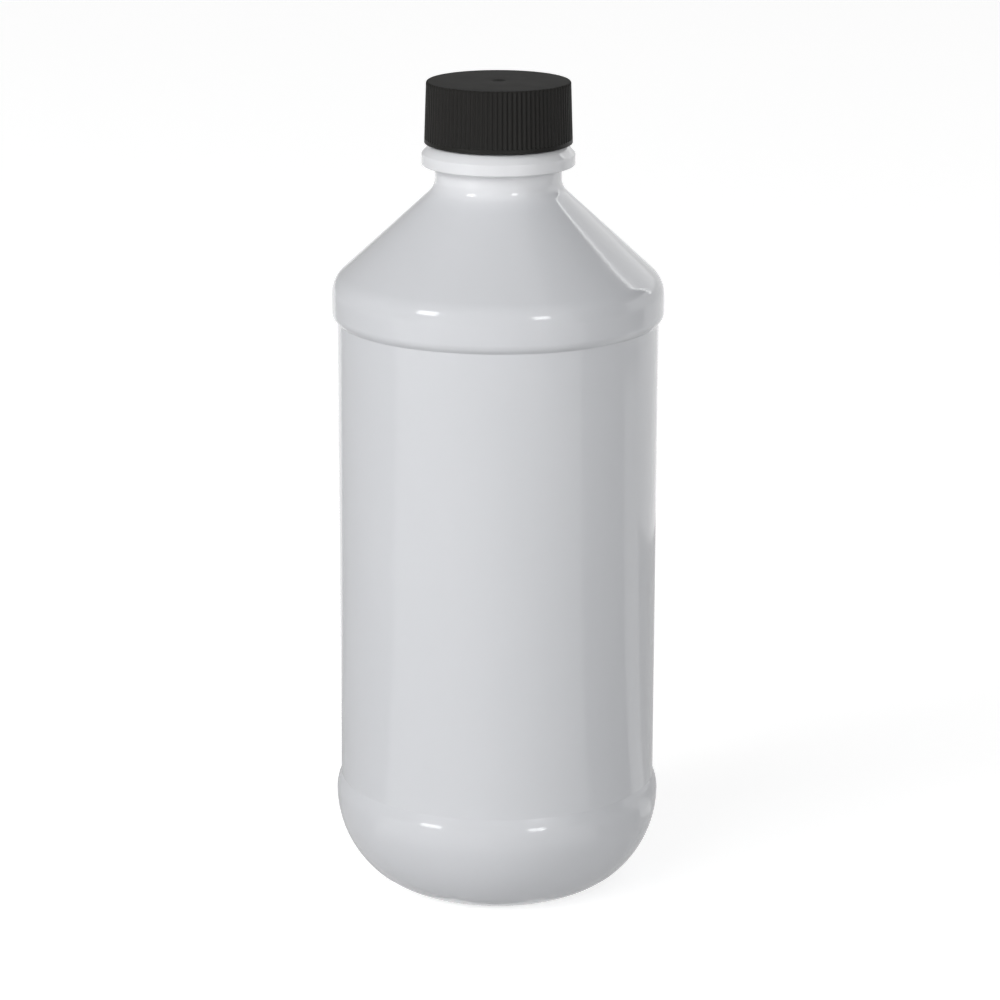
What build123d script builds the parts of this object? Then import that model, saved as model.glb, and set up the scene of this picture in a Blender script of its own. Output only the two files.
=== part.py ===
from build123d import *
import math
import os

# Round blow-moulded bottle with a recessed label panel, closed by a ribbed screw cap.
# Millimetres. Origin at the centre of the base on the standing plane, +Z up through the cap.

# Body diameters
band_diameter = 70.0
panel_diameter = 67.7
bulge_diameter = 69.6
neck_diameter = 26.6
wall = 0.65

# Heights of the body's corners, before they are rounded
panel_top_z = 124.05
shoulder_z = 132.4
neck_z = 152.4

# Roundings of the body, from the shoulder down to the foot
neck_fillet = 2.0
shoulder_radius = 6.3
band_edge_radius = 2.5
crease_fillet = 0.5
bulge_radius = 8.6
upper_heel_radius = 22.4
upper_heel_angle = 43.6
lower_heel_radius = 17.8
lower_heel_angle = 25.0
foot_radius = 5.0
foot_land_width = 1.4

# Push-up inside the standing ring, with the nub that the moulding gate leaves
foot_inner_radius = 3.0
pushup_angle = 25.0
pushup_height = 4.5
pushup_fillet = 8.0
base_centre_thickness = 1.5
gate_nub_diameter = 3.0
gate_nub_height = 0.8

# Neck ring and lip of a 28 mm screw finish
ring_diameter = 32.2
ring_bottom_z = 157.1
ring_top_z = 160.1
ring_top_edge_radius = 0.8
ring_bottom_edge_radius = 0.5
ring_root_fillet = 0.35
finish_diameter = 25.2
lip_z = 172.3
lip_edge_radius = 0.4
bore_diameter = 21.8
bore_fillet = 4.0

# Right-handed threads
inch = 25.4
threads_per_inch = 6
thread_lead = inch / threads_per_inch
flank_angle = 30.0
fade_turns = 0.125
sections_per_turn = 12
root_overlap = 0.3
neck_thread_diameter = 27.4
neck_thread_width = 2.4
neck_thread_turns = 1.25
neck_thread_start_z = 165.4
cap_thread_diameter = 25.9
cap_thread_width = 2.2
cap_thread_turns = 1.0
cap_thread_start_z = 163.7

# Cap
cap_bottom_z = 161.7
cap_top_z = 174.6
cap_bottom_diameter = 31.05
cap_top_diameter = 30.2
cap_bore_diameter = 27.9
cap_top_thickness = 1.3
cap_edge_radius = 0.45
cap_mouth_chamfer = 0.35
rib_count = 94
groove_radius = 0.3
plain_rim_height = 0.9
dimple_diameter = 3.2
dimple_depth = 0.3

# Foam liner, which fills the space between the lip and the cap's top
liner_diameter = 27.2
liner_thickness = cap_top_z - cap_top_thickness - lip_z

# Worked out from the sizes above
band_radius = band_diameter / 2
panel_radius = panel_diameter / 2
bulge_outer_radius = bulge_diameter / 2
neck_radius = neck_diameter / 2
ring_radius = ring_diameter / 2
finish_radius = finish_diameter / 2
bore_radius = bore_diameter / 2
cap_bore_radius = cap_bore_diameter / 2
cone_angle = math.degrees(math.atan2(neck_z - shoulder_z, band_radius - neck_radius))
shoulder_turn = 90 - cone_angle
shoulder_arc_z = shoulder_z - shoulder_radius * math.tan(math.radians(shoulder_turn / 2))


def arc_angle(step, radius):
    """Degrees that an arc of this radius, leaving the vertical, turns to step inwards this far."""
    return math.degrees(math.acos(1 - step / radius))


def arc_rise(angle, radius):
    """Height between the arc's widest point and the point that many degrees round it."""
    return radius * math.sin(math.radians(angle))


band_edge_z = panel_top_z + arc_rise(
    arc_angle(band_radius - panel_radius, band_edge_radius), band_edge_radius
)
heel_angle = upper_heel_angle + lower_heel_angle
bulge_z = (
    arc_rise(upper_heel_angle, upper_heel_radius)
    + arc_rise(heel_angle, lower_heel_radius)
    - arc_rise(upper_heel_angle, lower_heel_radius)
    + arc_rise(90, foot_radius)
    - arc_rise(heel_angle, foot_radius)
)


def corner(sketch, radius, height):
    """The sketch's vertex nearest to this radius and height."""
    return sketch.vertices().sort_by_distance((radius, height, 0))[0]


def body_section(inset, throat_radius, throat_top, throat_fillet, centre_z):
    """Half section of the body at a depth of inset under its skin, closed along the axis."""
    with BuildSketch(Plane.XZ) as section:
        with BuildLine():
            upper_heel = JernArc(
                (bulge_outer_radius - inset, bulge_z),
                (0, -1),
                upper_heel_radius - inset,
                -upper_heel_angle,
            )
            lower_heel = JernArc(
                upper_heel @ 1, upper_heel % 1, lower_heel_radius - inset, -lower_heel_angle
            )
            foot = JernArc(lower_heel @ 1, lower_heel % 1, foot_radius - inset, heel_angle - 90)
            land = Line(foot @ 1, foot @ 1 - Vector(foot_land_width, 0))
            foot_inside = JernArc(land @ 1, land % 1, foot_inner_radius - inset, -pushup_angle)
            pushup_start = foot_inside @ 1
            pushup_run = (centre_z - pushup_start.Y) / math.tan(math.radians(pushup_angle))
            pushup = Line(pushup_start, (pushup_start.X - pushup_run, centre_z))
            floor_line = Line(pushup @ 1, (0, centre_z))
            bulge_turn = arc_angle(bulge_outer_radius - panel_radius, bulge_radius - inset)
            bulge = JernArc(upper_heel @ 0, (0, 1), bulge_radius - inset, bulge_turn)
            edge_turn = arc_angle(band_radius - panel_radius, band_edge_radius - inset)
            band_edge = JernArc(
                (band_radius - inset, band_edge_z), (0, -1), band_edge_radius - inset, -edge_turn
            )
            Line(bulge @ 1, band_edge @ 1)
            shoulder = JernArc(
                (band_radius - inset, shoulder_arc_z), (0, 1), shoulder_radius - inset, shoulder_turn
            )
            Line(band_edge @ 0, shoulder @ 0)
            cone_start = shoulder @ 1
            cone_run = cone_start.X - throat_radius
            cone_rise = cone_run * math.tan(math.radians(cone_angle))
            cone = Line(cone_start, (throat_radius, cone_start.Y + cone_rise))
            Polyline(cone @ 1, (throat_radius, throat_top), (0, throat_top), floor_line @ 1)
        make_face()
        fillet(corner(section, throat_radius, (cone @ 1).Y), throat_fillet)
        fillet(corner(section, (pushup @ 1).X, centre_z), pushup_fillet)
        fillet(corner(section, (bulge @ 1).X, (bulge @ 1).Y), crease_fillet)
        fillet(corner(section, (band_edge @ 1).X, (band_edge @ 1).Y), crease_fillet)
    return section.sketch


def thread_ridge(wall_radius, crest_radius, root_width, start_z, turns):
    """Helical ridge standing on a round wall, sinking into the wall at both ends."""
    depth = abs(crest_radius - wall_radius)
    outward = math.copysign(1, crest_radius - wall_radius)
    crest_width = root_width - 2 * depth * math.tan(math.radians(flank_angle))
    buried_width = root_width + 2 * root_overlap * math.tan(math.radians(flank_angle))
    section_count = round(turns * sections_per_turn)
    with BuildPart() as ridge:
        for index in range(section_count + 1):
            turned = index / sections_per_turn
            fade = min(1, turned / fade_turns, (turns - turned) / fade_turns)
            height = (depth + root_overlap / 2) * math.sin(math.pi / 2 * fade) - root_overlap / 2
            angle = 2 * math.pi * turned
            section_plane = Plane(
                origin=(0, 0, start_z + thread_lead * turned),
                x_dir=(math.cos(angle), math.sin(angle), 0),
                z_dir=(math.sin(angle), -math.cos(angle), 0),
            )
            with BuildSketch(section_plane):
                Polygon(
                    (wall_radius - outward * root_overlap, -buried_width / 2),
                    (wall_radius + outward * height, -crest_width / 2),
                    (wall_radius + outward * height, crest_width / 2),
                    (wall_radius - outward * root_overlap, buried_width / 2),
                    align=None,
                )
        loft()
    return ridge.part


outer_section = body_section(0, neck_radius, ring_bottom_z, neck_fillet, pushup_height)
hollow_section = body_section(
    wall, bore_radius, lip_z, bore_fillet, pushup_height + base_centre_thickness
)
neck_thread = thread_ridge(
    finish_radius, neck_thread_diameter / 2, neck_thread_width, neck_thread_start_z, neck_thread_turns
)
cap_thread = thread_ridge(
    cap_bore_radius, cap_thread_diameter / 2, cap_thread_width, cap_thread_start_z, cap_thread_turns
)

# Bottle: one blown wall from the lip to the base, with the neck ring and the thread on it
with BuildPart() as bottle:
    with BuildSketch(Plane.XZ) as blank:
        add(outer_section)
        with Locations((0, ring_bottom_z)):
            Rectangle(ring_radius, ring_top_z - ring_bottom_z, align=(Align.MIN, Align.MIN))
            Rectangle(finish_radius, lip_z - ring_bottom_z, align=(Align.MIN, Align.MIN))
        fillet(corner(blank, ring_radius, ring_bottom_z), ring_bottom_edge_radius)
        fillet(corner(blank, ring_radius, ring_top_z), ring_top_edge_radius)
        fillet(corner(blank, neck_radius, ring_bottom_z), ring_root_fillet)
        fillet(corner(blank, finish_radius, ring_top_z), ring_root_fillet)
        fillet(corner(blank, finish_radius, lip_z), lip_edge_radius)
    revolve(axis=Axis.Z)
    add(neck_thread)
    with BuildSketch(Plane.XZ):
        add(hollow_section)
    revolve(axis=Axis.Z, mode=Mode.SUBTRACT)
    with Locations((0, 0, pushup_height)):
        Cylinder(gate_nub_diameter / 2, gate_nub_height, align=(Align.CENTER, Align.CENTER, Align.MAX))
bottle.part.label = "bottle"

# One groove between two ribs, along the drafted side of the cap
side_foot = Vector(cap_bottom_diameter / 2, 0, cap_bottom_z)
side_head = Vector(cap_top_diameter / 2, 0, cap_top_z)
side_direction = (side_head - side_foot).normalized()
groove_start = side_foot + side_direction * plain_rim_height
with BuildPart() as groove:
    with BuildSketch(Plane(origin=groove_start, x_dir=(0, 1, 0), z_dir=side_direction)):
        Circle(groove_radius)
    extrude(amount=cap_top_z - cap_bottom_z)

# Cap: a ribbed skirt with its own thread inside, and a dimple at the moulding gate
with BuildPart() as cap:
    with BuildSketch(Plane.XZ) as shell:
        cap_ceiling_z = cap_top_z - cap_top_thickness
        with BuildLine():
            Polyline(
                (0, cap_top_z),
                (cap_top_diameter / 2, cap_top_z),
                (cap_bottom_diameter / 2, cap_bottom_z),
                (cap_bore_radius, cap_bottom_z),
                (cap_bore_radius, cap_ceiling_z),
                (0, cap_ceiling_z),
                close=True,
            )
        make_face()
        fillet(corner(shell, cap_top_diameter / 2, cap_top_z), cap_edge_radius)
        chamfer(corner(shell, cap_bore_radius, cap_bottom_z), cap_mouth_chamfer)
    revolve(axis=Axis.Z)
    add(cap_thread)
    with PolarLocations(0, rib_count):
        add(groove.part, mode=Mode.SUBTRACT)
    dimple_radius = (dimple_diameter**2 / 4 + dimple_depth**2) / (2 * dimple_depth)
    with Locations((0, 0, cap_top_z - dimple_depth + dimple_radius)):
        Sphere(dimple_radius, mode=Mode.SUBTRACT)
cap.part.label = "cap"

# Liner: a foam disc that seals the lip
with BuildPart() as cap_liner:
    with BuildSketch(Plane.XY.offset(lip_z)):
        Circle(liner_diameter / 2)
    extrude(amount=liner_thickness)
cap_liner.part.label = "cap_liner"

os.makedirs("parts", exist_ok=True)
export_step(bottle.part, "parts/bottle.step")
export_step(cap.part, "parts/cap.step")
export_step(cap_liner.part, "parts/cap_liner.step")
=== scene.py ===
# %% [markdown]
# # A round plastic bottle with a ribbed screw cap
#
# The bottle is one blow-moulded piece, closed by a black cap with a foam liner inside it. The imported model
# already holds the three solids at their real size. This lesson gives them their finished surfaces: a
# turned skin for the bottle, 94 moulded ribs on the cap, threads, plastics with their small flaws, and
# a studio to look at them in.

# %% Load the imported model
import bmesh
import bpy
import math
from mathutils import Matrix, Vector


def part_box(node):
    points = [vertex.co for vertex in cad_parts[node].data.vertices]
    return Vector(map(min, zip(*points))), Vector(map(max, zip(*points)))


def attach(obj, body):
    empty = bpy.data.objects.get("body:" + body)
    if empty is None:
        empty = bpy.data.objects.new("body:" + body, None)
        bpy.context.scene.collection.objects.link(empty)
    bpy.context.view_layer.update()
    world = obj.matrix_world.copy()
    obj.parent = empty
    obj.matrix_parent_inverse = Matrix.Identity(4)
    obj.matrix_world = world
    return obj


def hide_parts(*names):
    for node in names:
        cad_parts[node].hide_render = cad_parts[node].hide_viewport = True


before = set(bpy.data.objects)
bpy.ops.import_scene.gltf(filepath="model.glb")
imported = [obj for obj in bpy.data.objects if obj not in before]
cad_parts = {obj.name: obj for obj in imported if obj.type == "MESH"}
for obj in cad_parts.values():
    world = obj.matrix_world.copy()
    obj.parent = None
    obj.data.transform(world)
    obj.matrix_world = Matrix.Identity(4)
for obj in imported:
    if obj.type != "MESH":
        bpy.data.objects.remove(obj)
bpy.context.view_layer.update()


# %% Put a new object in the scene
def new_object(name, data):
    made = bpy.data.objects.new(name, data)
    bpy.context.scene.collection.objects.link(made)
    return made


# %% [markdown]
# ## Sizes
#
# A part is drawn in millimetres and Blender works in metres, so one unit, `mm`, is defined and every size
# is written with it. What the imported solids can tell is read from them: heights of the lip and the cap, and
# the radius of the widest band. The rest are the driving sizes of the moulding.

# %% Read the main sizes from the solids
mm = 0.001

bottle_low, bottle_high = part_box("bottle")
cap_low, cap_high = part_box("cap")
liner_low, liner_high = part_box("cap_liner")

lip_z = bottle_high.z
band_radius = bottle_high.x
cap_bottom_z = cap_low.z
cap_top_z = cap_high.z
heights = [round(height / mm, 2) for height in (lip_z, cap_bottom_z, cap_top_z)]
print("lip, cap's foot and cap's top in mm:", heights)

# %% [markdown]
# ## Outlines with rounded corners
#
# A turned shape is fully described by half of its section. The easiest way to write one is a line through
# its corners, each with the radius that rounds it, as on a drawing. The function below puts an arc in place
# of each corner. A chain of arcs that run into each other is written the same way, because an arc is also
# the rounding of the corner where its two end tangents meet.
#
# A long straight run gets a few points of its own: the shading of a smooth surface is blended from point to
# point, and with no points near the end of a run the arc beside it would tint the whole run.

# %% Round the corners of an outline
ARC_STEP = math.radians(5)
SAME_POINT = 1e-7


def arc_points(start, corner, end, radius, turn, arc_step):
    """Points of the arc that leaves start towards corner and arrives at end."""
    count = max(2, math.ceil(turn / arc_step))
    bisector = ((start - corner).normalized() + (end - corner).normalized()).normalized()
    centre = corner + bisector * (radius / math.cos(turn / 2))
    first, last = start - centre, end - centre
    points = []
    for index in range(count + 1):
        share = index / count
        mixed = (first * math.sin((1 - share) * turn) + last * math.sin(share * turn)) / math.sin(turn)
        points.append(centre + mixed)
    return points


def rounded_outline(corners, longest_run=4 * mm, arc_step=ARC_STEP):
    """Points (radius, height) through corners given as (radius, height, rounding)."""
    vectors = [Vector((r, z)) for r, z, _ in corners]
    points = [vectors[0]]
    for index in range(1, len(corners)):
        corner, radius = vectors[index], corners[index][2]
        arc = [corner]
        if radius > 0 and index < len(corners) - 1:
            incoming = (corner - vectors[index - 1]).normalized()
            outgoing = (vectors[index + 1] - corner).normalized()
            turn = incoming.angle(outgoing)
            reach = radius * math.tan(turn / 2)
            start, end = corner - incoming * reach, corner + outgoing * reach
            arc = arc_points(start, corner, end, radius, turn, arc_step)
        run = arc[0] - points[-1]
        pieces = math.ceil(run.length / longest_run)
        points += [points[-1] + run * (step / pieces) for step in range(1, pieces)]
        points += arc
    tidy = [points[0]]
    for point in points[1:]:
        if (point - tidy[-1]).length > SAME_POINT:
            tidy.append(point)
    return tidy


square_corner = rounded_outline([(0, 0, 0), (5 * mm, 0, mm), (5 * mm, 5 * mm, 0)])
print("a square corner rounded to 1 mm takes", len(square_corner), "points")

# %% [markdown]
# ## The bottle's half section
#
# The real bottle is blown: a heated tube of plastic is swelled by air against a cold mould. Its wall is thin
# and nearly even, so the inside runs along the outside at one wall's depth. The section goes from the
# middle of the base, out over the standing ring, up the heel, the panel, the band and the cone to the neck,
# the ring and the lip, and back down inside.
#
# The two steps, from the bulge to the panel and from the panel to the band, are S-curves: a rounded edge and
# a small hollow corner that share one tangent. How far each turns follows from the step's width.
#
# The neck ring carries the bottle in the filling machine. Its top slopes up towards the neck, so it catches
# the light right up to the cap's rim.

# %% Sizes of the bottle
panel_radius = 33.85 * mm
bulge_radius = 34.8 * mm
neck_radius = 13.3 * mm
wall = 0.65 * mm

shoulder_z = 132.4 * mm
neck_z = 152.4 * mm
shoulder_rounding = 6.3 * mm
neck_rounding = 4.0 * mm
band_edge_z = 126.15 * mm
band_edge_rounding = 2.5 * mm
crease_rounding = 0.5 * mm
bulge_z = 20.09 * mm
bulge_rounding = 8.6 * mm
heel_arcs = (
    (22.4 * mm, math.radians(43.6)),
    (17.8 * mm, math.radians(25.0)),
    (5.0 * mm, math.radians(21.4)),
)

land_width = 1.4 * mm
pushup_rounding = 3.0 * mm
pushup_slope = math.radians(25)
pushup_z = 4.5 * mm
pushup_blend = 8.0 * mm
base_floor_z = 6.0 * mm
gate_nub_radius = 1.5 * mm
gate_nub_height = 0.8 * mm
gate_nub_rounding = 0.3 * mm
gate_nub_root = 0.2 * mm

ring_radius = 16.1 * mm
ring_bottom_z = 157.1 * mm
ring_face_top_z = 159.5 * mm
ring_face_rounding = 0.5 * mm
ring_crown_radius = 14.4 * mm
ring_crown_z = 161.35 * mm
ring_crown_rounding = 0.4 * mm
ring_bottom_rounding = 0.35 * mm
ring_root = 0.35 * mm
finish_radius = 12.6 * mm
lip_rounding = 0.4 * mm
bore_radius = 10.9 * mm
bore_rounding = 4.0 * mm


# %% Corners of the bottle's skin and of its hollow
def step_corners(wide, narrow, centre_z, edge, hollow, side):
    """Corners of an S-curve from a wide radius at centre_z to a narrow one, above it (1) or below it (-1)."""
    turn = math.acos(1 - (wide - narrow) / (edge + hollow))
    edge_corner = (wide, centre_z + side * edge * math.tan(turn / 2), edge)
    far_z = centre_z + side * ((edge + hollow) * math.sin(turn) - hollow * math.tan(turn / 2))
    return [edge_corner, (narrow, far_z, hollow)]


def heel_corners(inset):
    """Corners from the push-up's blend, over the standing ring and up the heel to the bulge's widest line."""
    place, heading = Vector((bulge_radius - inset, bulge_z)), -math.pi / 2
    corners = []
    for radius, turn in heel_arcs:
        reach = (radius - inset) * math.tan(turn / 2)
        place = place + Vector((math.cos(heading), math.sin(heading))) * reach
        corners.append((place.x, place.y, radius - inset))
        heading -= turn
        place = place + Vector((math.cos(heading), math.sin(heading))) * reach
    reach = (pushup_rounding - inset) * math.tan(pushup_slope / 2)
    place = place + Vector((-land_width - reach, 0))
    corners.append((place.x, place.y, pushup_rounding - inset))
    return corners[::-1], place


def body_corners(inset, throat_radius, throat_rounding, centre_z):
    """Corners of the blown body at a depth under its skin, from the middle of the base to the throat."""
    heel, foot = heel_corners(inset)
    blend_radius = foot.x - (centre_z - foot.y) / math.tan(pushup_slope)
    narrow, crease = panel_radius - inset, crease_rounding + inset
    bulge = step_corners(bulge_radius - inset, narrow, bulge_z, bulge_rounding - inset, crease, 1)
    band = step_corners(band_radius - inset, narrow, band_edge_z, band_edge_rounding - inset, crease, -1)
    cone_slope = (neck_z - shoulder_z) / (band_radius - neck_radius)
    lean = math.atan(cone_slope)
    lowered = inset / math.cos(lean)
    shoulder_corner_z = shoulder_z + inset * cone_slope - lowered
    throat_z = neck_z + (neck_radius - throat_radius) * cone_slope - lowered
    return [
        (blend_radius, centre_z, pushup_blend),
        *heel,
        *bulge,
        *band[::-1],
        (band_radius - inset, shoulder_corner_z, shoulder_rounding - inset),
        (throat_radius, throat_z, throat_rounding),
    ]


outer_corners = [
    (0, pushup_z - gate_nub_height, 0),
    (gate_nub_radius, pushup_z - gate_nub_height, gate_nub_rounding),
    (gate_nub_radius, pushup_z, gate_nub_root),
    *body_corners(0, neck_radius, neck_rounding, pushup_z),
    (neck_radius, ring_bottom_z, ring_root),
    (ring_radius, ring_bottom_z, ring_bottom_rounding),
    (ring_radius, ring_face_top_z, ring_face_rounding),
    (ring_crown_radius, ring_crown_z, ring_crown_rounding),
    (finish_radius, ring_crown_z, ring_root),
    (finish_radius, lip_z, lip_rounding),
    (bore_radius, lip_z, lip_rounding),
]
inner_corners = [(0, base_floor_z, 0), *body_corners(wall, bore_radius, bore_rounding, base_floor_z)]
bottle_outline = rounded_outline(outer_corners + inner_corners[::-1])
print("bottle's half section:", len(bottle_outline), "points")

# %% [markdown]
# ## Writing node trees by hand
#
# Geometry Nodes and shader nodes can be joined with the mouse or from a script. A script is longer to read but
# can be run again and again, so each tree here is written as a few plain steps. The small class below adds
# one node at a time: a value given to it is a number, or the socket of an earlier node to join to.

# %% A helper that adds nodes
NODE_SPACING = (190, 170)
NODES_PER_COLUMN = 5


class Steps:
    """Adds nodes to one tree, step by step, and lays them out in columns."""

    def __init__(self, tree):
        self.tree = tree
        self.made = 0

    def put(self, socket, value):
        if isinstance(value, bpy.types.NodeSocket):
            self.tree.links.new(value, socket)
        else:
            socket.default_value = value

    def add(self, kind, values=None, **settings):
        node = self.tree.nodes.new(kind)
        node.location = (
            self.made // NODES_PER_COLUMN * NODE_SPACING[0],
            -(self.made % NODES_PER_COLUMN) * NODE_SPACING[1],
        )
        self.made += 1
        for name, setting in settings.items():
            setattr(node, name, setting)
        for socket, value in (values or {}).items():
            self.put(node.inputs[socket], value)
        return node

    def maths(self, operation, *values):
        node = self.add("ShaderNodeMath", operation=operation)
        for socket, value in zip(node.inputs, values):
            self.put(socket, value)
        return node.outputs[0]


def new_group(name, kind, inputs, outputs):
    """A node group with named sockets, given as {name: (socket type, first value)}."""
    group = bpy.data.node_groups.new(name, kind)
    for direction, sockets in (("INPUT", inputs), ("OUTPUT", outputs)):
        for label, (socket_type, first_value) in sockets.items():
            socket = group.interface.new_socket(label, in_out=direction, socket_type=socket_type)
            if first_value is not None:
                socket.default_value = first_value
    return group


GEOMETRY = ("NodeSocketGeometry", None)
MATERIAL = ("NodeSocketMaterial", None)

# %% [markdown]
# ## Steps that both trees share
#
# The turned skin and the thread ridge are both grids that are bent into shape. Each takes its rows from an
# outline, winds its columns round the axis and ends in the same four nodes, so these steps are functions. The
# instances are made real inside the tree, so that a model that leaves Blender keeps them.

# %% Grid points, turned places and the end of a tree
MERGE_DISTANCE = 2e-6


def outline_rows(steps, outline):
    """How many rows a grid needs to have one for each point of the outline."""
    size = steps.add("GeometryNodeAttributeDomainSize", {"Geometry": outline}, component="MESH")
    return size.outputs["Point Count"]


def column_and_row(steps, rows):
    """Where each point of a grid is, because Mesh Grid counts its points column by column."""
    index = steps.add("GeometryNodeInputIndex").outputs[0]
    column = steps.maths("FLOOR", steps.maths("DIVIDE", steps.maths("ADD", index, 0.5), rows))
    return column, steps.maths("SUBTRACT", index, steps.maths("MULTIPLY", column, rows))


def sampled(steps, outline, field, row, data_type):
    """The value of a field at the outline's point of this row."""
    values = {"Geometry": outline, "Value": field, "Index": row}
    return steps.add("GeometryNodeSampleIndex", values, data_type=data_type).outputs[0]


def outline_place(steps, outline, row):
    """The X and Z of the outline's point of this row."""
    position = steps.add("GeometryNodeInputPosition").outputs[0]
    place = sampled(steps, outline, position, row, "FLOAT_VECTOR")
    return steps.add("ShaderNodeSeparateXYZ", {0: place}).outputs


def wound(steps, mesh, radius, angle, height):
    """The mesh with each point at a radius and an angle round the axis, and at a height."""
    place = {
        "X": steps.maths("MULTIPLY", radius, steps.maths("COSINE", angle)),
        "Y": steps.maths("MULTIPLY", radius, steps.maths("SINE", angle)),
        "Z": height,
    }
    place = steps.add("ShaderNodeCombineXYZ", place).outputs[0]
    return steps.add("GeometryNodeSetPosition", {"Geometry": mesh, "Position": place}).outputs[0]


def end_tree(steps, geometry, material):
    """Makes instances real, closes the seams, smooths the shading and sets the material."""
    real = steps.add("GeometryNodeRealizeInstances", {"Geometry": geometry})
    merged = steps.add("GeometryNodeMergeByDistance", {"Geometry": real.outputs[0], "Distance": MERGE_DISTANCE})
    smooth = steps.add("GeometryNodeSetShadeSmooth", {0: merged.outputs[0]})
    dressed = steps.add("GeometryNodeSetMaterial", {"Geometry": smooth.outputs[0], "Material": material})
    steps.add("NodeGroupOutput", {"Geometry": dressed.outputs[0]})

# %% [markdown]
# ## A lathe made of Geometry Nodes
#
# Both pieces are turned shapes. The Spin tool or the Screw modifier would make a plain one, but the cap's side
# also has to repeat 94 times around. So one tree does both jobs: it takes a flat grid, lays its rows along the
# outline and bends its columns round one sector of the circle, then sets that sector round the axis as many
# times as asked, and merges the seams.
#
# The ribs are what is left between grooves. A groove never adds material, so the radius is the smaller of two:
# the outline's own and the groove's floor. That keeps the rounded top edge true where the grooves run out
# through it, as a cutter would.

# %% The lathe tree
GROOVE_SQUARENESS = 0.7


def build_lathe():
    whole = ("NodeSocketInt", 1)
    inputs = {
        "Outline": GEOMETRY,
        "Sectors": whole,
        "Columns": whole,
        "Groove Depth": ("NodeSocketFloat", 0.0),
        "Groove Share": ("NodeSocketFloat", 0.5),
        "Material": MATERIAL,
    }
    group = new_group("Lathe with grooves", "GeometryNodeTree", inputs, {"Geometry": GEOMETRY})
    steps = Steps(group)
    given = steps.add("NodeGroupInput").outputs
    rows = outline_rows(steps, given["Outline"])
    sides = {"Vertices X": steps.maths("ADD", given["Columns"], 1.0), "Vertices Y": rows}
    grid = steps.add("GeometryNodeMeshGrid", sides).outputs["Mesh"]
    column, row = column_and_row(steps, rows)
    share = steps.maths("DIVIDE", column, given["Columns"])

    def outline_attribute(name):
        node = steps.add("GeometryNodeInputNamedAttribute", {"Name": name}, data_type="FLOAT")
        return sampled(steps, given["Outline"], node.outputs["Attribute"], row, "FLOAT")

    place = outline_place(steps, given["Outline"], row)
    from_middle = steps.maths("MULTIPLY", steps.maths("ABSOLUTE", steps.maths("SUBTRACT", share, 0.5)), 2.0)
    across = steps.maths("MINIMUM", steps.maths("DIVIDE", from_middle, given["Groove Share"]), 1.0)
    wave = steps.maths("COSINE", steps.maths("MULTIPLY", across, math.pi))
    section = steps.maths("POWER", steps.maths("MULTIPLY_ADD", wave, 0.5, 0.5), GROOVE_SQUARENESS)
    full_cut = steps.maths("MULTIPLY", section, given["Groove Depth"])
    cut = steps.maths("MULTIPLY", full_cut, outline_attribute("cut_share"))
    floor_radius = steps.maths("SUBTRACT", outline_attribute("cut_radius"), cut)
    radius = steps.maths("MINIMUM", place["X"], floor_radius)
    sector_turn = steps.maths("DIVIDE", math.tau, given["Sectors"])
    sector = wound(steps, grid, radius, steps.maths("MULTIPLY", share, sector_turn), place["Z"])

    copies = steps.add("GeometryNodePoints", {"Count": given["Sectors"]}).outputs[0]
    copy_index = steps.add("GeometryNodeInputIndex").outputs[0]
    turned = steps.add("ShaderNodeCombineXYZ", {"Z": steps.maths("MULTIPLY", copy_index, sector_turn)})
    rotation = steps.add("FunctionNodeEulerToRotation", {0: turned.outputs[0]}).outputs[0]
    set_round = {"Points": copies, "Instance": sector, "Rotation": rotation}
    end_tree(steps, steps.add("GeometryNodeInstanceOnPoints", set_round).outputs[0], given["Material"])
    return group


lathe = build_lathe()
print("lathe tree:", len(lathe.nodes), "nodes")

# %% [markdown]
# ## A thread ridge made of Geometry Nodes
#
# A screw thread is one section carried along a helix. The same trick serves again: a grid whose rows follow
# the section's outline and whose columns climb the helix. Near both ends the section shrinks to nothing, which
# is how a real moulded thread runs out, and it leaves a closed ridge with no open end to cap.

# %% The thread tree
def build_thread():
    number = ("NodeSocketFloat", 0.0)
    inputs = {
        "Section": GEOMETRY,
        "Wall Radius": number,
        "Start Height": number,
        "Lead": number,
        "Turns": number,
        "Fade Turns": number,
        "Steps per Turn": ("NodeSocketInt", 12),
        "Material": MATERIAL,
    }
    group = new_group("Thread ridge", "GeometryNodeTree", inputs, {"Geometry": GEOMETRY})
    steps = Steps(group)
    given = steps.add("NodeGroupInput").outputs
    rows = outline_rows(steps, given["Section"])
    column_count = steps.maths("ROUND", steps.maths("MULTIPLY", given["Turns"], given["Steps per Turn"]))
    sides = {"Vertices X": steps.maths("ADD", column_count, 1.0), "Vertices Y": rows}
    grid = steps.add("GeometryNodeMeshGrid", sides).outputs["Mesh"]
    column, row = column_and_row(steps, rows)
    turned = steps.maths("DIVIDE", column, given["Steps per Turn"])
    from_end = steps.maths("MINIMUM", turned, steps.maths("SUBTRACT", given["Turns"], turned))
    fade = steps.maths("MINIMUM", steps.maths("DIVIDE", from_end, given["Fade Turns"]), 1.0)
    fade = steps.maths("MAXIMUM", fade, 0.0)
    size_share = steps.maths("SINE", steps.maths("MULTIPLY", fade, math.pi / 2))
    section = outline_place(steps, given["Section"], row)
    radius = steps.maths("MULTIPLY_ADD", section["X"], size_share, given["Wall Radius"])
    climb = steps.maths("MULTIPLY_ADD", turned, given["Lead"], given["Start Height"])
    height = steps.maths("MULTIPLY_ADD", section["Z"], size_share, climb)
    ridge = wound(steps, grid, radius, steps.maths("MULTIPLY", turned, math.tau), height)
    end_tree(steps, ridge, given["Material"])
    return group


thread = build_thread()
print("thread tree:", len(thread.nodes), "nodes")

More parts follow.
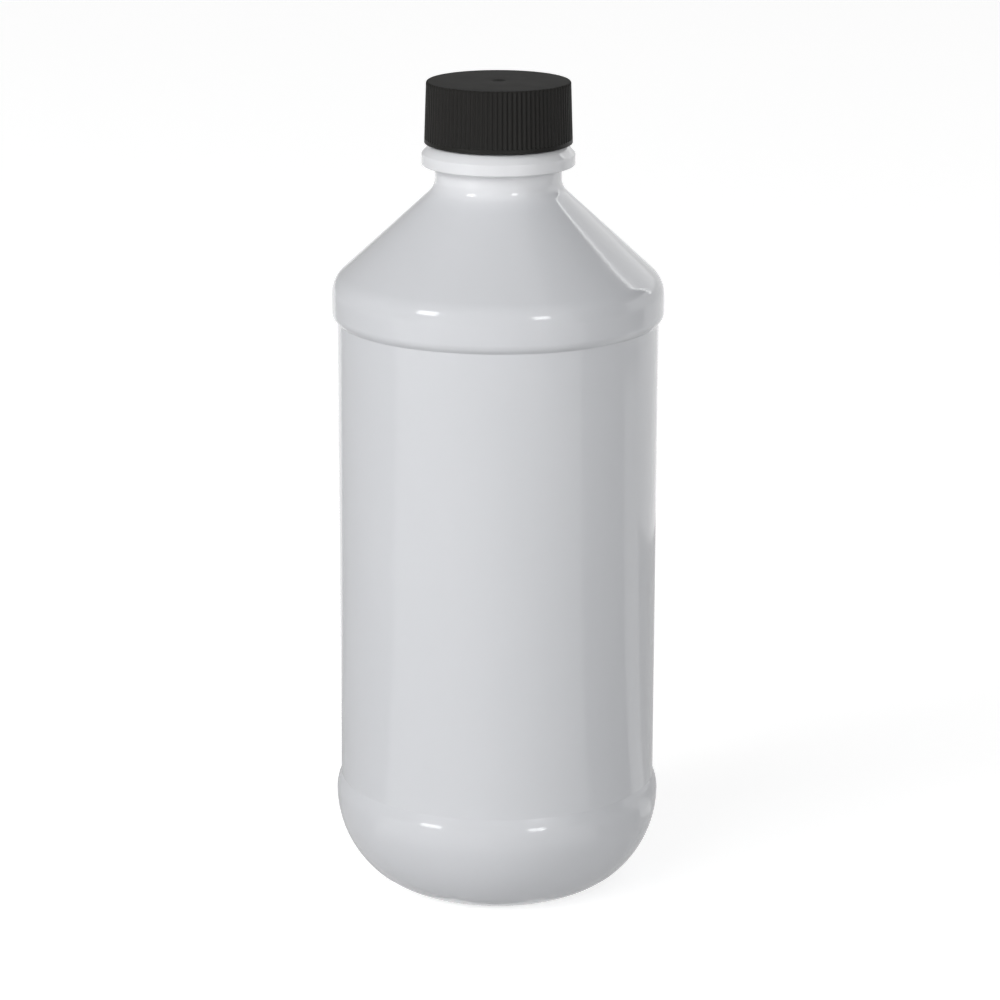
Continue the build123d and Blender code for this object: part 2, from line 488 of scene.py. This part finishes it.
# %% [markdown]
# ## From an outline to a finished mesh
#
# An outline enters a tree as a string of points. The tree's inputs are set on the modifier by each socket's
# identifier, before the object is evaluated for the first time. The result is frozen into a plain mesh, because
# a model that leaves Blender can't take a modifier along.

# %% Run a tree on an outline and freeze what it makes
UNCUT_RADIUS = 1.0


def outline_object(name, outline, cut_radius=None, cut_share=None):
    """A string of points in the X-Z plane, with how deep the grooves may go at each."""
    mesh = bpy.data.meshes.new(name)
    links = [(index, index + 1) for index in range(len(outline) - 1)]
    mesh.from_pydata([(r, 0, z) for r, z in outline], links, [])
    for label, rule, otherwise in (("cut_radius", cut_radius, UNCUT_RADIUS), ("cut_share", cut_share, 0.0)):
        attribute = mesh.attributes.new(label, "FLOAT", "POINT")
        for point, entry in zip(outline, attribute.data):
            entry.value = rule(point.y) if rule else otherwise
    return new_object(name, mesh)


def freeze(worker, tree, **values):
    """The plain mesh that a tree makes of a worker object; the worker is removed."""
    modifier = worker.modifiers.new(tree.name, "NODES")
    modifier.node_group = tree
    sockets = {item.name: item.identifier for item in tree.interface.items_tree if item.in_out == "INPUT"}
    for label, value in values.items():
        modifier[sockets[label.replace("_", " ")]] = value
    evaluated = worker.evaluated_get(bpy.context.evaluated_depsgraph_get())
    mesh = bpy.data.meshes.new_from_object(evaluated)
    bpy.data.objects.remove(worker)
    return mesh


def signed_volume(mesh):
    """Positive when the faces of a closed mesh point outwards."""
    shell = bmesh.new()
    shell.from_mesh(mesh)
    volume = shell.calc_volume(signed=True)
    open_edges = sum(1 for edge in shell.edges if not edge.is_manifold)
    shell.free()
    return volume, open_edges


def report_mesh(label, mesh):
    volume, open_edges = signed_volume(mesh)
    triangles = sum(len(face.vertices) - 2 for face in mesh.polygons)
    print(f"{label}: {triangles} triangles, {volume * 1e6:.3f} cm3, {open_edges} open edges")

# %% [markdown]
# ## Shared surface effects
#
# Moulded plastic is never perfectly even, whatever its colour. Three effects are used by more than one
# material, so each is a shader node group, built once and placed with its own values. They give out only
# heights, tones and masks. The shader itself stays in each material.
#
# - **Mould skin**: the surface's own relief. A slow swell from uneven cooling, an orange-peel ripple, and a fine
#   grain from the mould's steel.
# - **Tone drift**: pigment that isn't mixed perfectly, as a slight change of lightness.
# - **Handling haze**: faint dull patches, where a surface has been touched or rubbed in its box.
#
# All of them read Object coordinates, so a pattern stays on the piece wherever it moves.

# %% The shader groups
NUMBER = "NodeSocketFloat"
COLOUR = "NodeSocketColor"
SHADER_TREE = "ShaderNodeTree"
SWELL_STRETCH = (1, 1, 0.12)
DRIFT_STRETCH = (1, 1, 0.4)
HAZE_START = 0.45
HAZE_FULL = 0.75


def object_coordinates(steps, stretch=(1, 1, 1)):
    """The piece's own coordinates in metres, squeezed along an axis to stretch a pattern there."""
    place = steps.add("ShaderNodeTexCoord").outputs["Object"]
    return steps.add("ShaderNodeMapping", {"Vector": place, "Scale": stretch}).outputs[0]


def noise(steps, place, size, detail=2.0):
    """Noise with features of about this size, between 0 and 1. The size is a number or a socket, in metres."""
    scale = steps.maths("DIVIDE", 1.0, size)
    return steps.add("ShaderNodeTexNoise", {"Vector": place, "Scale": scale, "Detail": detail}).outputs["Fac"]


def height_mask(steps, low_z, high_z, full=1.0, **settings):
    """0 below one height on the piece, rising to its full value at another."""
    height = steps.add("ShaderNodeSeparateXYZ", {0: object_coordinates(steps)}).outputs["Z"]
    limits = {"Value": height, "From Min": low_z, "From Max": high_z, "To Max": full}
    return steps.add("ShaderNodeMapRange", limits, **settings).outputs[0]


def build_mould_skin():
    inputs = {
        "Swell Size": (NUMBER, 12 * mm),
        "Swell Height": (NUMBER, 0.0),
        "Peel Size": (NUMBER, 1.5 * mm),
        "Peel Height": (NUMBER, 0.0),
        "Grain Size": (NUMBER, 0.1 * mm),
        "Grain Height": (NUMBER, 0.0),
    }
    group = new_group("Mould skin", SHADER_TREE, inputs, {"Height": (NUMBER, None)})
    steps = Steps(group)
    given = steps.add("NodeGroupInput").outputs
    even = object_coordinates(steps)
    drawn_out = object_coordinates(steps, SWELL_STRETCH)
    swell = steps.maths("MULTIPLY", noise(steps, drawn_out, given["Swell Size"], 1.0), given["Swell Height"])
    peel = steps.maths("MULTIPLY", noise(steps, even, given["Peel Size"], 1.0), given["Peel Height"])
    grain = steps.maths("MULTIPLY", noise(steps, even, given["Grain Size"], 1.0), given["Grain Height"])
    steps.add("NodeGroupOutput", {"Height": steps.maths("ADD", swell, steps.maths("ADD", peel, grain))})
    return group


def build_tone_drift():
    inputs = {
        "Light Tone": (COLOUR, (0.8, 0.8, 0.8, 1)),
        "Deep Tone": (COLOUR, (0.7, 0.7, 0.7, 1)),
        "Patch Size": (NUMBER, 20 * mm),
    }
    group = new_group("Tone drift", SHADER_TREE, inputs, {"Colour": (COLOUR, None)})
    steps = Steps(group)
    given = steps.add("NodeGroupInput").outputs
    patches = noise(steps, object_coordinates(steps, DRIFT_STRETCH), given["Patch Size"], 3.0)
    tones = {"Fac": patches, "Color1": given["Light Tone"], "Color2": given["Deep Tone"]}
    steps.add("NodeGroupOutput", {"Colour": steps.add("ShaderNodeMixRGB", tones).outputs[0]})
    return group


def build_handling_haze():
    inputs = {
        "Clean": (NUMBER, 0.2),
        "Rubbed": (NUMBER, 0.3),
        "Patch Size": (NUMBER, 15 * mm),
    }
    group = new_group("Handling haze", SHADER_TREE, inputs, {"Roughness": (NUMBER, None)})
    steps = Steps(group)
    given = steps.add("NodeGroupInput").outputs
    patches = noise(steps, object_coordinates(steps), given["Patch Size"], 4.0)
    limits = {"Value": patches, "From Min": HAZE_START, "From Max": HAZE_FULL}
    mask = steps.add("ShaderNodeMapRange", limits).outputs[0]
    difference = steps.maths("SUBTRACT", given["Rubbed"], given["Clean"])
    steps.add("NodeGroupOutput", {"Roughness": steps.maths("MULTIPLY_ADD", mask, difference, given["Clean"])})
    return group


mould_skin = build_mould_skin()
tone_drift = build_tone_drift()
handling_haze = build_handling_haze()
print("shader groups:", [group.name for group in (mould_skin, tone_drift, handling_haze)])


# %% Place a group and make a material
def place_group(steps, group, **values):
    node = steps.add("ShaderNodeGroup", node_tree=group)
    for label, value in values.items():
        steps.put(node.inputs[label.replace("_", " ")], value)
    return node.outputs[0]


def new_material(name, **shader_values):
    """A material with a Principled shader, its constants set on the shader's own sockets."""
    material = bpy.data.materials.new(name)
    material.use_nodes = True
    material.node_tree.nodes.clear()
    steps = Steps(material.node_tree)
    shader = steps.add("ShaderNodeBsdfPrincipled")
    for label, value in shader_values.items():
        shader.inputs[label.replace("_", " ")].default_value = value
    steps.add("ShaderNodeOutputMaterial", {"Surface": shader.outputs[0]})
    return material, steps, shader


def press_relief(steps, shader, height):
    """Turns a height in metres into the shading normal."""
    bump = steps.add("ShaderNodeBump", {"Strength": 1.0, "Distance": 1.0, "Height": height})
    steps.put(shader.inputs["Normal"], bump.outputs[0])


# %% [markdown]
# ## The bottle's plastic
#
# White pigment fills this plastic, and the polished mould leaves it glossy. A wall of half a millimetre still
# lets a little light into the hollow, and the neck is three times as thick. Light inside plastic is slow to
# render, so instead the neck's colour is painted lighter than the walls: painted light that stands in for the
# light scattered in the thick plastic and lifts the shade that the ring and the cap cast on the neck. It is two
# tones and a height mask between them.
#
# What tells the eye that it was blown, and not turned from steel, is in the small things: reflections that
# waver a little along the walls, and the thin line left where the two halves of the mould met. That line runs
# down both sides and under the base, in the plane where Y is 0, so its mask is made from the distance to it.

# %% The bottle's material
PARTING_LINE_WIDTH = 0.16 * mm
PARTING_LINE_HEIGHT = 0.02 * mm
NECK_LIGHT_FROM_Z = 149 * mm
NECK_LIGHT_FULL_Z = 156 * mm
WALL_LIGHT_TONE = (0.665, 0.675, 0.70, 1)
WALL_DEEP_TONE = (0.635, 0.647, 0.672, 1)
# Painted light: the neck's tone is lighter than the walls to lift the shade under the ring and the cap.
NECK_PAINTED_LIGHT_TONE = (0.77, 0.777, 0.795, 1)


def parting_line(steps):
    """A thin raised line in the plane where Y is 0, in metres."""
    place = steps.add("ShaderNodeSeparateXYZ", {0: object_coordinates(steps)}).outputs
    away = steps.maths("DIVIDE", steps.maths("ABSOLUTE", place["Y"]), PARTING_LINE_WIDTH)
    limits = {"Value": away, "From Min": 1.0, "From Max": 0.0}
    ridge = steps.add("ShaderNodeMapRange", limits, interpolation_type="SMOOTHSTEP")
    return steps.maths("MULTIPLY", ridge.outputs[0], PARTING_LINE_HEIGHT)


def make_bottle_plastic():
    material, steps, shader = new_material("white_blown_plastic", IOR=1.5)
    drift = {"Light_Tone": WALL_LIGHT_TONE, "Deep_Tone": WALL_DEEP_TONE, "Patch_Size": 25 * mm}
    thin = place_group(steps, tone_drift, **drift)
    # Painted light: the mask lightens the neck above a height, in place of light scattered through the plastic.
    painted_neck_light = height_mask(steps, NECK_LIGHT_FROM_Z, NECK_LIGHT_FULL_Z, interpolation_type="SMOOTHSTEP")
    colour = steps.add("ShaderNodeMixRGB", {"Fac": painted_neck_light, "Color1": thin, "Color2": NECK_PAINTED_LIGHT_TONE}).outputs[0]
    haze = place_group(steps, handling_haze, Clean=0.09, Rubbed=0.14, Patch_Size=14 * mm)
    steps.put(shader.inputs["Base Color"], colour)
    steps.put(shader.inputs["Roughness"], haze)
    skin = place_group(
        steps,
        mould_skin,
        Swell_Size=7 * mm,
        Swell_Height=0.012 * mm,
        Peel_Size=1.6 * mm,
        Peel_Height=0.0012 * mm,
        Grain_Size=0.2 * mm,
        Grain_Height=0.00006 * mm,
    )
    press_relief(steps, shader, steps.maths("ADD", skin, parting_line(steps)))
    return material


bottle_plastic = make_bottle_plastic()
print("material:", bottle_plastic.name, "with", len(bottle_plastic.node_tree.nodes), "nodes")

# %% [markdown]
# ## The cap's plastic
#
# The cap is injected into a steel mould whose face was etched dull, so that fingerprints and scratches don't
# show. The etching is a fine grain, and it is what makes the black look satin: it spreads each reflection
# without hiding it. The flat top is etched more than the sides, whose ribs have to slide out of the mould, so
# it is duller. The black is a little warm, as carbon pigment in this plastic is.

# %% The cap's material
ETCHED_ROUGHNESS = 0.32
ETCHED_FROM_Z = cap_top_z - 0.7 * mm
ETCHED_FULL_Z = cap_top_z - 0.2 * mm
CAP_LIGHT_TONE = (0.0205, 0.0200, 0.0186, 1)
CAP_DEEP_TONE = (0.0165, 0.0161, 0.0150, 1)


def make_cap_plastic():
    material, steps, shader = new_material("black_etched_plastic", IOR=1.49, Specular_IOR_Level=0.1)
    drift = {"Light_Tone": CAP_LIGHT_TONE, "Deep_Tone": CAP_DEEP_TONE, "Patch_Size": 6 * mm}
    colour = place_group(steps, tone_drift, **drift)
    haze = place_group(steps, handling_haze, Clean=0.40, Rubbed=0.44, Patch_Size=5 * mm)
    etched = height_mask(steps, ETCHED_FROM_Z, ETCHED_FULL_Z, full=ETCHED_ROUGHNESS)
    steps.put(shader.inputs["Base Color"], colour)
    steps.put(shader.inputs["Roughness"], steps.maths("ADD", haze, etched))
    skin = place_group(
        steps,
        mould_skin,
        Swell_Size=5 * mm,
        Swell_Height=0.003 * mm,
        Peel_Size=0.5 * mm,
        Peel_Height=0.001 * mm,
        Grain_Size=0.09 * mm,
        Grain_Height=0.0035 * mm,
    )
    press_relief(steps, shader, skin)
    return material


cap_plastic = make_cap_plastic()
print("material:", cap_plastic.name, "with", len(cap_plastic.node_tree.nodes), "nodes")

# %% [markdown]
# ## The liner's foam
#
# The liner is cut from a sheet of white foamed plastic. Its face shows the closed cells of the foam as shallow
# dimples a few tenths of a millimetre across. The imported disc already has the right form, so it stays and
# only takes this material.

# %% The liner's material
FOAM_CELL = 0.3 * mm
FOAM_CELL_DEPTH = 0.02 * mm
FOAM_LIGHT_TONE = (0.86, 0.86, 0.84, 1)
FOAM_DEEP_TONE = (0.80, 0.80, 0.77, 1)


def make_liner_foam():
    material, steps, shader = new_material("white_foam", IOR=1.45)
    drift = {"Light_Tone": FOAM_LIGHT_TONE, "Deep_Tone": FOAM_DEEP_TONE, "Patch_Size": 4 * mm}
    colour = place_group(steps, tone_drift, **drift)
    haze = place_group(steps, handling_haze, Clean=0.7, Rubbed=0.85, Patch_Size=3 * mm)
    steps.put(shader.inputs["Base Color"], colour)
    steps.put(shader.inputs["Roughness"], haze)
    cells = steps.add("ShaderNodeTexVoronoi", {"Vector": object_coordinates(steps), "Scale": 1 / FOAM_CELL})
    press_relief(steps, shader, steps.maths("MULTIPLY", cells.outputs["Distance"], FOAM_CELL_DEPTH))
    return material


liner_foam = make_liner_foam()
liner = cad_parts["cap_liner"]
for material_slot in liner.material_slots:
    material_slot.material = liner_foam
print("the liner keeps its own mesh of", len(liner.data.polygons), "faces")

# %% [markdown]
# ## The bottle
#
# The outline turns on the lathe, in enough columns that its edge stays round in a close view. The thread is
# its own small section wound up the neck. The two are joined into one mesh, since the real bottle is
# one moulding.

# %% Sizes of the threads
thread_lead = 25.4 * mm / 6
thread_overlap = 0.3 * mm
thread_flank = math.radians(30)
thread_fade_turns = 0.125
thread_steps = 72
thread_crest_rounding = 0.25 * mm
thread_arc_step = math.radians(20)


def thread_outline(depth, root_width, rounding):
    """Closed section of a ridge: X is the distance out from its wall, Z the height from its middle."""
    side = math.copysign(1, depth)
    crest = root_width / 2 - abs(depth) * math.tan(thread_flank)
    root = root_width / 2 + thread_overlap * math.tan(thread_flank)
    buried = -side * thread_overlap
    foot, top = (buried, -root, 0), (buried, root, 0)
    corners = [foot, (depth, -crest, rounding), (depth, crest, rounding), top, foot]
    if depth < 0:
        corners = corners[::-1]
    return rounded_outline(corners, longest_run=5 * mm, arc_step=thread_arc_step)


def thread_mesh(name, depth, root_width, wall_radius, start_z, turns, material):
    worker = outline_object(name, thread_outline(depth, root_width, thread_crest_rounding))
    return freeze(
        worker,
        thread,
        Wall_Radius=wall_radius,
        Start_Height=start_z,
        Lead=thread_lead,
        Turns=turns,
        Fade_Turns=thread_fade_turns,
        Steps_per_Turn=thread_steps,
        Material=material,
    )


def joined(name, meshes, material, sharp_angle=math.radians(45)):
    """One object at the origin that holds all the meshes, shaded smooth up to a sharp angle."""
    shell = bmesh.new()
    for mesh in meshes:
        shell.from_mesh(mesh)
    whole = bpy.data.meshes.new(name)
    shell.to_mesh(whole)
    shell.free()
    whole.materials.clear()
    whole.materials.append(material)
    whole.set_sharp_from_angle(angle=sharp_angle)
    return new_object(name, whole)


# %% Make the bottle
bottle_skin = freeze(
    outline_object("bottle_outline", bottle_outline),
    lathe,
    Sectors=48,
    Columns=4,
    Groove_Depth=0.0,
    Groove_Share=0.5,
    Material=bottle_plastic,
)
neck_thread = thread_mesh(
    "neck_thread",
    depth=1.1 * mm,
    root_width=2.4 * mm,
    wall_radius=finish_radius,
    start_z=165.4 * mm,
    turns=1.25,
    material=bottle_plastic,
)
report_mesh("bottle skin", bottle_skin)
report_mesh("neck thread", neck_thread)
bottle = joined("white_bottle", [bottle_skin, neck_thread], bottle_plastic)

# %% [markdown]
# ## The cap
#
# Count the light bands on one side of the cap and it has about 94 ribs round it. They stand on a plain
# rim and run up through the rounded top edge. The lathe makes one rib's width with its groove and sets it
# round 94 times. In the middle of the top is the dimple where the plastic was injected: the mould's gate is
# sunk there so that its scar stays below the surface.

# %% Sizes of the cap
rib_count = 94
cap_bottom_radius = 15.525 * mm
cap_top_radius = 15.1 * mm
cap_bore_radius = 13.95 * mm
cap_ceiling_z = liner_high.z
cap_edge_rounding = 0.45 * mm
cap_ceiling_rounding = 0.4 * mm
cap_mouth_rounding = 0.3 * mm
cap_foot_rounding = 0.12 * mm
cap_arc_step = math.radians(11)
plain_rim_height = 0.9 * mm
groove_depth = 0.26 * mm
groove_share = 0.78
groove_end_length = 0.3 * mm
dimple_radius = 1.6 * mm
dimple_depth = 0.3 * mm
dimple_edge_rounding = 0.25 * mm
dimple_bowl_share = 0.7


# %% Outline of the cap
def side_radius(z):
    """Radius of the cap's drafted side at a height."""
    share = (z - cap_bottom_z) / (cap_top_z - cap_bottom_z)
    return cap_bottom_radius + (cap_top_radius - cap_bottom_radius) * share


def groove_strength(z):
    """How much of its full depth a groove has at a height: its foot ends in a quarter round."""
    share = (z - cap_bottom_z - plain_rim_height) / groove_end_length
    share = min(max(share, 0), 1)
    return math.sqrt(1 - (1 - share) ** 2)


groove_foot_z = cap_bottom_z + plain_rim_height
foot_heights = [groove_foot_z + groove_end_length * share for share in (0, 0.1, 0.3, 0.6, 1.0)]
foot_points = [(side_radius(z), z, 0) for z in foot_heights]
dimple_bowl = (dimple_radius**2 + dimple_depth**2) / (2 * dimple_depth)
dimple_corner = dimple_radius - dimple_depth / math.tan(math.asin(dimple_radius / dimple_bowl))
cap_outline = rounded_outline(
    [
        (0, cap_ceiling_z, 0),
        (cap_bore_radius, cap_ceiling_z, cap_ceiling_rounding),
        (cap_bore_radius, cap_bottom_z, cap_mouth_rounding),
        (cap_bottom_radius, cap_bottom_z, cap_foot_rounding),
        *foot_points,
        (cap_top_radius, cap_top_z, cap_edge_rounding),
        (dimple_radius, cap_top_z, dimple_edge_rounding),
        (dimple_corner, cap_top_z - dimple_depth, dimple_bowl * dimple_bowl_share),
        (0, cap_top_z - dimple_depth, 0),
    ],
    arc_step=cap_arc_step,
)
print("cap's half section:", len(cap_outline), "points")

# %% Make the cap
cap_skin = freeze(
    outline_object("cap_outline", cap_outline, cut_radius=side_radius, cut_share=groove_strength),
    lathe,
    Sectors=rib_count,
    Columns=10,
    Groove_Depth=groove_depth,
    Groove_Share=groove_share,
    Material=cap_plastic,
)
cap_thread = thread_mesh(
    "cap_thread",
    depth=-1.0 * mm,
    root_width=2.2 * mm,
    wall_radius=cap_bore_radius,
    start_z=163.7 * mm,
    turns=1.0,
    material=cap_plastic,
)
report_mesh("cap skin", cap_skin)
report_mesh("cap thread", cap_thread)
cap = joined("ribbed_cap", [cap_skin, cap_thread], cap_plastic, sharp_angle=math.radians(60))

# %% [markdown]
# ## Who moves with what
#
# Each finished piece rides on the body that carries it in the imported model, and stands in for the plain solid
# of the same thing. The liner keeps its own node. It lies loose in the cap and rises with it, but the cap can
# turn over it while it still rests on the lip.

# %% Hand the pieces to their bodies
for piece, node, plastic in ((bottle, "bottle", "bottle_plastic"), (cap, "cap", "cap_plastic")):
    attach(piece, node)
    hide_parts(node)
    print(piece.name, "stands for the node", node)

# %% [markdown]
# ## The camera
#
# The picture was taken with a long lens from about 15 degrees above, 0.8 metres away. A long lens keeps the
# bottle's sides nearly parallel. The camera stands a hair to the right and leans by a tenth of a degree, as
# the one that took the photograph did.

# %% Set the camera
view_pitch = math.radians(15.14)
view_distance = 798.35 * mm
view_centre_z = 84.385 * mm
view_shift = 0.5 * mm
view_lean = math.radians(0.14)
focal_length = 134.35
film_width = 36

lens = bpy.data.cameras.new("camera")
lens.lens = focal_length
lens.sensor_width = film_width
camera = new_object("camera", lens)
camera.location = (
    view_shift,
    -view_distance * math.cos(view_pitch),
    view_centre_z + view_distance * math.sin(view_pitch),
)
camera.rotation_euler = (math.pi / 2 - view_pitch, 0, 0)
camera.rotation_euler.rotate_axis("Z", view_lean)
bpy.context.scene.camera = camera
print("camera at", [round(value, 3) for value in camera.location])

# %% [markdown]
# ## The studio
#
# A glossy white thing is shown by what it reflects, so the room matters as much as the lamps. Product
# photographers build it from cards. The bottle stands on white paper, between a pale wall in front, a grey wall
# on the left, two black flags on the right and a window behind on the right, and each of them gives one side of
# the white plastic its own tone.
#
# The floor and the sky are white to the camera and in reflections, and plainer to everything else, so the
# background stays white while no extra light falls on the bottle. The floor keeps its soft shadow.

# %% Show colours as they are written
bpy.context.scene.view_settings.view_transform = "Standard"


# %% What the camera and reflections see
def seen_directly(steps):
    """1 for a ray from the camera, off a gloss or through glass, 0 for the rays that light a surface."""
    path = steps.add("ShaderNodeLightPath").outputs
    mirrored = steps.maths("MAXIMUM", path["Is Glossy Ray"], path["Is Transmission Ray"])
    return steps.maths("MAXIMUM", path["Is Camera Ray"], mirrored)


def empty_material(name):
    material = bpy.data.materials.new(name)
    material.use_nodes = True
    material.node_tree.nodes.clear()
    return material, Steps(material.node_tree)


# %% [markdown]
# ## The sky
#
# The light of a room with windows comes mostly from the side: bright along the horizon, dim overhead. That is
# what draws the cone darker than the walls below it. Something dark stands on the left, and something smaller
# high on the right, so the light falls off towards both. All of it is worked out from the direction of the ray,
# which the world gives as Generated.

# %% The sky
HORIZON_LIGHT = 0.94
ZENITH_LIGHT = 0.02
LEFT_SHADE = (-100, 0, 0.8)
RIGHT_SHADE = (75, 50, 0.35)


def shade(steps, direction, azimuth, elevation, depth):
    """How much light is left on a side of the room that something dark stands on."""
    turn, lift = math.radians(azimuth), math.radians(elevation)
    middle = (math.sin(turn) * math.cos(lift), -math.cos(turn) * math.cos(lift), math.sin(lift))
    product = steps.add("ShaderNodeVectorMath", {0: direction, 1: middle}, operation="DOT_PRODUCT")
    lobe = steps.maths("POWER", steps.maths("MAXIMUM", product.outputs["Value"], 0.0), 2.0)
    return steps.maths("SUBTRACT", 1.0, steps.maths("MULTIPLY", lobe, depth))


def make_sky():
    world = bpy.data.worlds.new("studio")
    world.use_nodes = True
    world.node_tree.nodes.clear()
    steps = Steps(world.node_tree)
    direction = steps.add("ShaderNodeTexCoord").outputs["Generated"]
    height = steps.add("ShaderNodeSeparateXYZ", {0: direction}).outputs["Z"]
    flatness = steps.maths("SUBTRACT", 1.0, steps.maths("MULTIPLY", height, height))
    open_left = shade(steps, direction, *LEFT_SHADE)
    open_right = shade(steps, direction, *RIGHT_SHADE)
    open_share = steps.maths("MULTIPLY", open_left, open_right)
    horizon = steps.maths("MULTIPLY", steps.maths("MULTIPLY", flatness, open_share), HORIZON_LIGHT)
    lighting = steps.add("ShaderNodeBackground", {"Strength": steps.maths("ADD", horizon, ZENITH_LIGHT)})
    white = steps.add("ShaderNodeBackground", {"Strength": 1.0})
    for background in (lighting, white):
        background.inputs["Color"].default_value = (1, 1, 1, 1)
    choice = {0: seen_directly(steps), 1: lighting.outputs[0], 2: white.outputs[0]}
    mixed = steps.add("ShaderNodeMixShader", choice)
    steps.add("ShaderNodeOutputWorld", {"Surface": mixed.outputs[0]})
    bpy.context.scene.world = world


make_sky()
print("sky:", HORIZON_LIGHT, "at the horizon,", ZENITH_LIGHT, "overhead, 1.0 as background")

# %% [markdown]
# ## The floor
#
# The floor is one sheet of pale paper. It takes the bottle's shadow as plain paper does, and a glow that only
# the camera and reflections see lifts it to white.

# %% The floor
FLOOR_SIZE = 12.0
FLOOR_TONE = 0.68
FLOOR_GLOW = 0.68


def flat_mesh(name, corners):
    mesh = bpy.data.meshes.new(name)
    mesh.from_pydata(corners, [], [tuple(range(len(corners)))])
    made = new_object(name, mesh)
    return made


def make_floor():
    half = FLOOR_SIZE / 2
    floor = flat_mesh("floor", [(-half, -half, 0), (half, -half, 0), (half, half, 0), (-half, half, 0)])
    material, steps = empty_material("floor")
    paper = steps.add("ShaderNodeBsdfDiffuse", {"Color": (FLOOR_TONE, FLOOR_TONE, FLOOR_TONE, 1)})
    glow_strength = steps.maths("MULTIPLY", seen_directly(steps), FLOOR_GLOW)
    glow = steps.add("ShaderNodeEmission", {"Strength": glow_strength})
    both = steps.add("ShaderNodeAddShader", {0: paper.outputs[0], 1: glow.outputs[0]})
    steps.add("ShaderNodeOutputMaterial", {"Surface": both.outputs[0]})
    floor.data.materials.append(material)


make_floor()
print("floor:", FLOOR_SIZE, "m wide")


# %% [markdown]
# ## The cards
#
# A card shows only in reflections, so each can be set without changing the light on the rest. The grey ones on
# the floor dull the heel, as a table top would. Two small bright ones stand low in front for the lower bulge's
# highlights, and a white screen before each keeps it from showing again on the band.

# %% Directions round the bottle
def around(azimuth, distance, height=0.0):
    """A point at an azimuth in degrees, where 0 is the camera's side and 90 the right."""
    turn = math.radians(azimuth)
    return Vector((distance * math.sin(turn), -distance * math.cos(turn), height))


# %% Cards that show only in reflections
FLOOR_CARD_Z = 1 * mm


def card(name, corners, tone):
    """A flat card of one tone that a gloss mirrors. It neither lights nor shades anything."""
    made = flat_mesh(name, corners)
    material, steps = empty_material(name)
    surface = steps.add("ShaderNodeEmission", {"Strength": tone})
    steps.add("ShaderNodeOutputMaterial", {"Surface": surface.outputs[0]})
    made.data.materials.append(material)
    made.visible_camera = False
    made.visible_diffuse = False
    made.visible_shadow = False
    print(name, "tone", tone)


def standing_card(name, sides, distance, heights, tone):
    """An upright card between two azimuths, as (from, to), and two heights."""
    (start, end), (low, high) = sides, heights
    places = ((start, low), (end, low), (end, high), (start, high))
    card(name, [around(azimuth, distance, height) for azimuth, height in places], tone)


def lying_card(name, sides, distances, tone):
    """A card on the floor between two azimuths and two distances."""
    (start, end), (near, far) = sides, distances
    places = ((start, near), (end, near), (end, far), (start, far))
    card(name, [around(azimuth, distance, FLOOR_CARD_Z) for azimuth, distance in places], tone)


# %% The walls, the flags and the ceiling
CEILING_Z = 2.0
HALF_CEILING = 2.4

standing_card("front_wall", (-55, 55), 2.2, (0.0, 2.2), tone=0.84)
standing_card("left_wall", (-168, -55), 2.2, (0.0, 2.2), tone=0.45)
standing_card("right_flag", (55, 100), 1.6, (0.0, 1.6), tone=0.05)
standing_card("high_flag", (60, 131.7), 0.8, (0.35, 1.9), tone=0.05)
ceiling_sides = ((-1, -1), (1, -1), (1, 1), (-1, 1))
card("ceiling", [(x * HALF_CEILING, y * HALF_CEILING, CEILING_Z) for x, y in ceiling_sides], tone=0.6)

# %% The window and its bright edge
standing_card("rear_window", (134, 168), 0.8, (0.25, 1.3), tone=1.5)
standing_card("rear_window_edge", (131.7, 134), 0.8, (0.25, 1.3), tone=4.5)

# %% The cards on the floor
NEAR_CARD_STEP = 40

lying_card("left_floor_card", (-150, -75), (0.026, 1.2), tone=0.5)
for start in range(-180, 180, NEAR_CARD_STEP):
    lying_card(f"near_floor_card_{start + 180}", (start, start + NEAR_CARD_STEP), (0.026, 0.060), tone=0.62)
lying_card("right_floor_card", (60, 100), (0.026, 1.2), tone=0.5)
lying_card("right_far_floor_card", (100, 118), (0.53, 1.2), tone=0.3)
lying_card("right_near_floor_card", (118, 174), (0.026, 0.32), tone=0.6)

# %% The bright cards for the lower bulge, and their screens
standing_card("left_low_card", (-52.4, -38.2), 0.6, (0.015, 0.10), tone=9.0)
standing_card("right_low_card", (21.4, 32.8), 0.6, (0.015, 0.10), tone=9.0)
standing_card("left_screen", (-58, -32), 0.3, (0.061, 0.165), tone=1.0)
standing_card("right_screen", (17, 39), 0.3, (0.061, 0.165), tone=1.0)

# %% [markdown]
# ## The lamps
#
# Two soft boxes in front light the bottle and make the two highlights on its band. A wide soft light fills in
# from the left. It is hidden from reflections, where it would only wash out the cards.

# %% Lamps
BAND_Z = 129 * mm


def hang_lamp(name, azimuth, elevation, distance, width, height, radiance):
    """A soft box that faces the middle of the band. Its brightness is that of its own surface."""
    lamp = bpy.data.lights.new(name, "AREA")
    lamp.shape = "RECTANGLE"
    lamp.size = width
    lamp.size_y = height
    lamp.energy = radiance * math.pi * width * height
    holder = new_object(name, lamp)
    lift = math.radians(elevation)
    aim = Vector((0, 0, BAND_Z))
    holder.location = aim + around(azimuth, distance * math.cos(lift), distance * math.sin(lift))
    holder.rotation_euler = (holder.location - aim).to_track_quat("Z", "Y").to_euler()
    holder.visible_camera = False
    print(f"{name}: {lamp.energy:.2f} W")
    return holder


hang_lamp("left_soft_box", -52, 28, 1.2, width=0.29, height=0.28, radiance=9)
hang_lamp("right_soft_box", 30.5, 21.6, 1.2, width=0.22, height=0.24, radiance=8.5)
wide_fill = hang_lamp("wide_fill", -45, 20, 2.0, width=1.8, height=1.4, radiance=2.2)
wide_fill.visible_glossy = False
